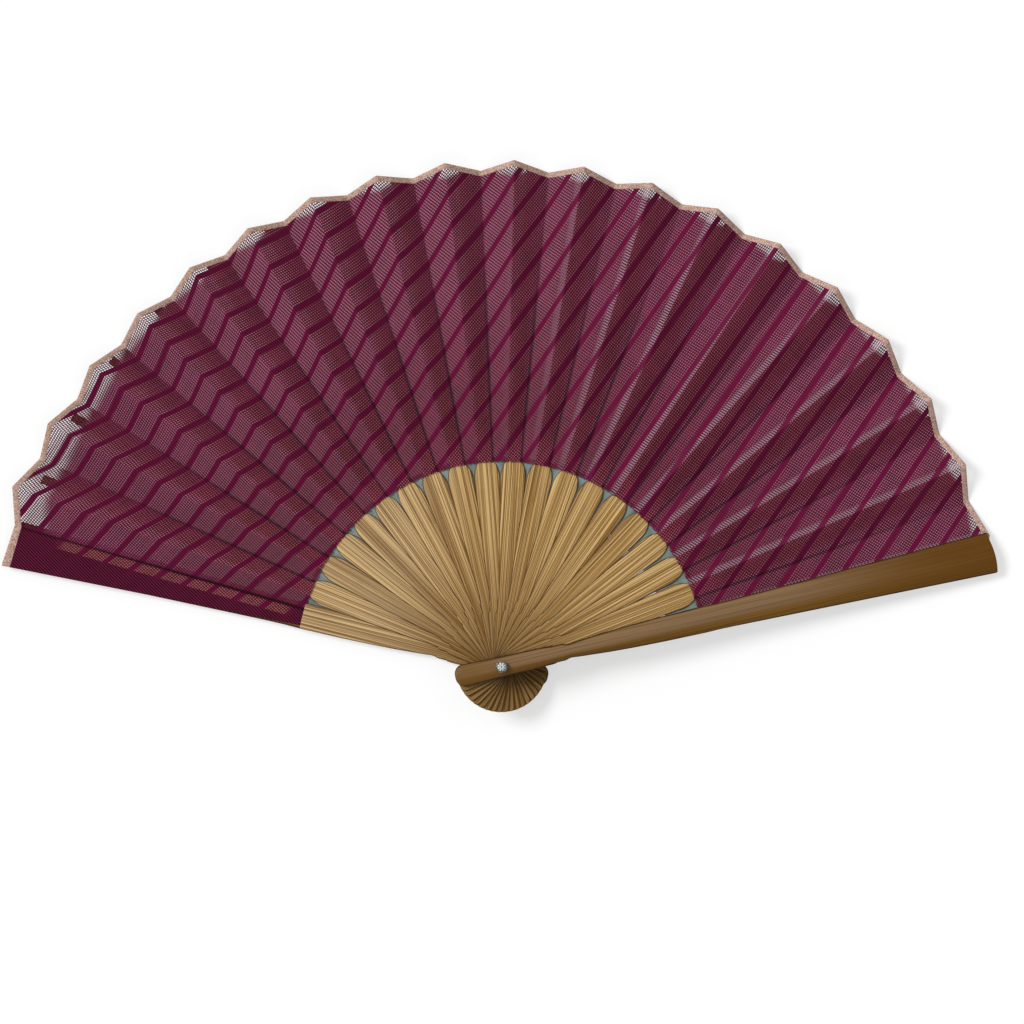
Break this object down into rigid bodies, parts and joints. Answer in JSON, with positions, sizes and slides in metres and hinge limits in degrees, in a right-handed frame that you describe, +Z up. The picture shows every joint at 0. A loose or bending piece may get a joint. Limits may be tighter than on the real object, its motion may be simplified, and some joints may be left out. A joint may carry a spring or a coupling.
{
  "type": "folding fan",
  "caption": "Hand-held folding fan: bamboo sticks swinging on one rivet between two guards, with a pleated leaf of striped gauze, shown open.",
  "frame": {"origin": "centre of the rivet head's flat back face, on the plane that the open fan lies on", "axes": "+Z up from that plane along the rivet, +X along the open fan's width towards the front guard, +Y from the rivet towards the leaf"},
  "size_m": [0.3775, 0.2086, 0.0236],
  "materials": {
    "bamboo": "natural",
    "stained_bamboo": "satin",
    "gauze": "matte",
    "dark_metal": "satin",
    "cut_stone": "polished"
  },
  "bodies": {
    "rear": {"rear_guard": "stained_bamboo", "rear_guard_liner": "bamboo", "rivet": "dark_metal", "stone_setting": "dark_metal", "stone": "cut_stone", "leaf_00": "gauze"},
    "stick_01": {"rib_01": "bamboo", "leaf_01": "gauze"},
    "stick_02": {"rib_02": "bamboo", "leaf_02": "gauze"},
    "stick_03": {"rib_03": "bamboo", "leaf_03": "gauze"},
    "stick_04": {"rib_04": "bamboo", "leaf_04": "gauze"},
    "stick_05": {"rib_05": "bamboo", "leaf_05": "gauze"},
    "stick_06": {"rib_06": "bamboo", "leaf_06": "gauze"},
    "stick_07": {"rib_07": "bamboo", "leaf_07": "gauze"},
    "stick_08": {"rib_08": "bamboo", "leaf_08": "gauze"},
    "stick_09": {"rib_09": "bamboo", "leaf_09": "gauze"},
    "stick_10": {"rib_10": "bamboo", "leaf_10": "gauze"},
    "stick_11": {"rib_11": "bamboo", "leaf_11": "gauze"},
    "stick_12": {"rib_12": "bamboo", "leaf_12": "gauze"},
    "stick_13": {"rib_13": "bamboo", "leaf_13": "gauze"},
    "stick_14": {"rib_14": "bamboo", "leaf_14": "gauze"},
    "stick_15": {"rib_15": "bamboo", "leaf_15": "gauze"},
    "stick_16": {"rib_16": "bamboo", "leaf_16": "gauze"},
    "stick_17": {"rib_17": "bamboo", "leaf_17": "gauze"},
    "stick_18": {"rib_18": "bamboo", "leaf_18": "gauze"},
    "front": {"front_guard": "stained_bamboo", "front_guard_liner": "bamboo", "leaf_19": "gauze"}
  },
  "joints": [
    {"name": "rib_01_swing", "type": "hinge", "parent": "rear", "child": "stick_01", "pos_m": [0, 0, 0.00443], "axis": [0.0105, 0.0321, 0.9994], "range_deg": [0, 8.03], "deforming": ["leaf_00", "leaf_01"]},
    {"name": "rib_02_swing", "type": "hinge", "parent": "rear", "child": "stick_02", "pos_m": [0, 0, 0.00522], "axis": [0.0124, 0.0305, 0.9995], "range_deg": [0, 16.03], "deforming": ["leaf_02"]},
    {"name": "rib_03_swing", "type": "hinge", "parent": "rear", "child": "stick_03", "pos_m": [0, 0, 0.00602], "axis": [0.0144, 0.0295, 0.9995], "range_deg": [0, 24], "deforming": ["leaf_03"]},
    {"name": "rib_04_swing", "type": "hinge", "parent": "rear", "child": "stick_04", "pos_m": [0, 0, 0.00683], "axis": [0.0164, 0.0284, 0.9995], "range_deg": [0, 31.95], "deforming": ["leaf_04"]},
    {"name": "rib_05_swing", "type": "hinge", "parent": "rear", "child": "stick_05", "pos_m": [0, 0, 0.00762], "axis": [0.0183, 0.0272, 0.9995], "range_deg": [0, 39.88], "deforming": ["leaf_05"]},
    {"name": "rib_06_swing", "type": "hinge", "parent": "rear", "child": "stick_06", "pos_m": [0, 0, 0.00843], "axis": [0.0202, 0.0259, 0.9995], "range_deg": [0, 47.79], "deforming": ["leaf_06"]},
    {"name": "rib_07_swing", "type": "hinge", "parent": "rear", "child": "stick_07", "pos_m": [0, 0, 0.00923], "axis": [0.0221, 0.0246, 0.9995], "range_deg": [0, 55.69], "deforming": ["leaf_07"]},
    {"name": "rib_08_swing", "type": "hinge", "parent": "rear", "child": "stick_08", "pos_m": [0, 0, 0.01002], "axis": [0.0239, 0.0232, 0.9994], "range_deg": [0, 63.58], "deforming": ["leaf_08"]},
    {"name": "rib_09_swing", "type": "hinge", "parent": "rear", "child": "stick_09", "pos_m": [0, 0, 0.01082], "axis": [0.0258, 0.0218, 0.9994], "range_deg": [0, 71.47], "deforming": ["leaf_09"]},
    {"name": "rib_10_swing", "type": "hinge", "parent": "rear", "child": "stick_10", "pos_m": [0, 0, 0.01162], "axis": [0.0276, 0.0202, 0.9994], "range_deg": [0, 79.38], "deforming": ["leaf_10"]},
    {"name": "rib_11_swing", "type": "hinge", "parent": "rear", "child": "stick_11", "pos_m": [0, 0, 0.01243], "axis": [0.0293, 0.0185, 0.9994], "range_deg": [0, 87.31], "deforming": ["leaf_11"]},
    {"name": "rib_12_swing", "type": "hinge", "parent": "rear", "child": "stick_12", "pos_m": [0, 0, 0.01323], "axis": [0.0311, 0.0167, 0.9994], "range_deg": [0, 95.28], "deforming": ["leaf_12"]},
    {"name": "rib_13_swing", "type": "hinge", "parent": "rear", "child": "stick_13", "pos_m": [0, 0, 0.01402], "axis": [0.0328, 0.0148, 0.9994], "range_deg": [0, 103.3], "deforming": ["leaf_13"]},
    {"name": "rib_14_swing", "type": "hinge", "parent": "rear", "child": "stick_14", "pos_m": [0, 0, 0.01482], "axis": [0.0345, 0.0127, 0.9993], "range_deg": [0, 111.39], "deforming": ["leaf_14"]},
    {"name": "rib_15_swing", "type": "hinge", "parent": "rear", "child": "stick_15", "pos_m": [0, 0, 0.01562], "axis": [0.0361, 0.0104, 0.9993], "range_deg": [0, 119.55], "deforming": ["leaf_15"]},
    {"name": "rib_16_swing", "type": "hinge", "parent": "rear", "child": "stick_16", "pos_m": [0, 0, 0.01642], "axis": [0.0377, 0.008, 0.9993], "range_deg": [0, 127.79], "deforming": ["leaf_16"]},
    {"name": "rib_17_swing", "type": "hinge", "parent": "rear", "child": "stick_17", "pos_m": [0, 0, 0.01723], "axis": [0.0392, 0.0054, 0.9992], "range_deg": [0, 136.11], "deforming": ["leaf_17"]},
    {"name": "rib_18_swing", "type": "hinge", "parent": "rear", "child": "stick_18", "pos_m": [0, 0, 0.01802], "axis": [0.0407, 0.0026, 0.9992], "range_deg": [0, 144.49], "deforming": ["leaf_18"]},
    {"name": "fan_fold", "type": "hinge", "parent": "rear", "child": "front", "pos_m": [0, 0, 0.01883], "axis": [0.0421, -0.0004, 0.9991], "range_deg": [0, 152.92], "deforming": ["leaf_19"]}
  ],
  "couplings": [
    {"joint": "rib_01_swing", "follows": "fan_fold", "ratio": 0.052515},
    {"joint": "rib_02_swing", "follows": "fan_fold", "ratio": 0.10482},
    {"joint": "rib_03_swing", "follows": "fan_fold", "ratio": 0.15695},
    {"joint": "rib_04_swing", "follows": "fan_fold", "ratio": 0.20893},
    {"joint": "rib_05_swing", "follows": "fan_fold", "ratio": 0.26077},
    {"joint": "rib_06_swing", "follows": "fan_fold", "ratio": 0.3125},
    {"joint": "rib_07_swing", "follows": "fan_fold", "ratio": 0.36414},
    {"joint": "rib_08_swing", "follows": "fan_fold", "ratio": 0.41575},
    {"joint": "rib_09_swing", "follows": "fan_fold", "ratio": 0.46737},
    {"joint": "rib_10_swing", "follows": "fan_fold", "ratio": 0.51907},
    {"joint": "rib_11_swing", "follows": "fan_fold", "ratio": 0.57094},
    {"joint": "rib_12_swing", "follows": "fan_fold", "ratio": 0.62306},
    {"joint": "rib_13_swing", "follows": "fan_fold", "ratio": 0.67552},
    {"joint": "rib_14_swing", "follows": "fan_fold", "ratio": 0.7284},
    {"joint": "rib_15_swing", "follows": "fan_fold", "ratio": 0.78176},
    {"joint": "rib_16_swing", "follows": "fan_fold", "ratio": 0.83565},
    {"joint": "rib_17_swing", "follows": "fan_fold", "ratio": 0.89004},
    {"joint": "rib_18_swing", "follows": "fan_fold", "ratio": 0.94487}
  ]
}
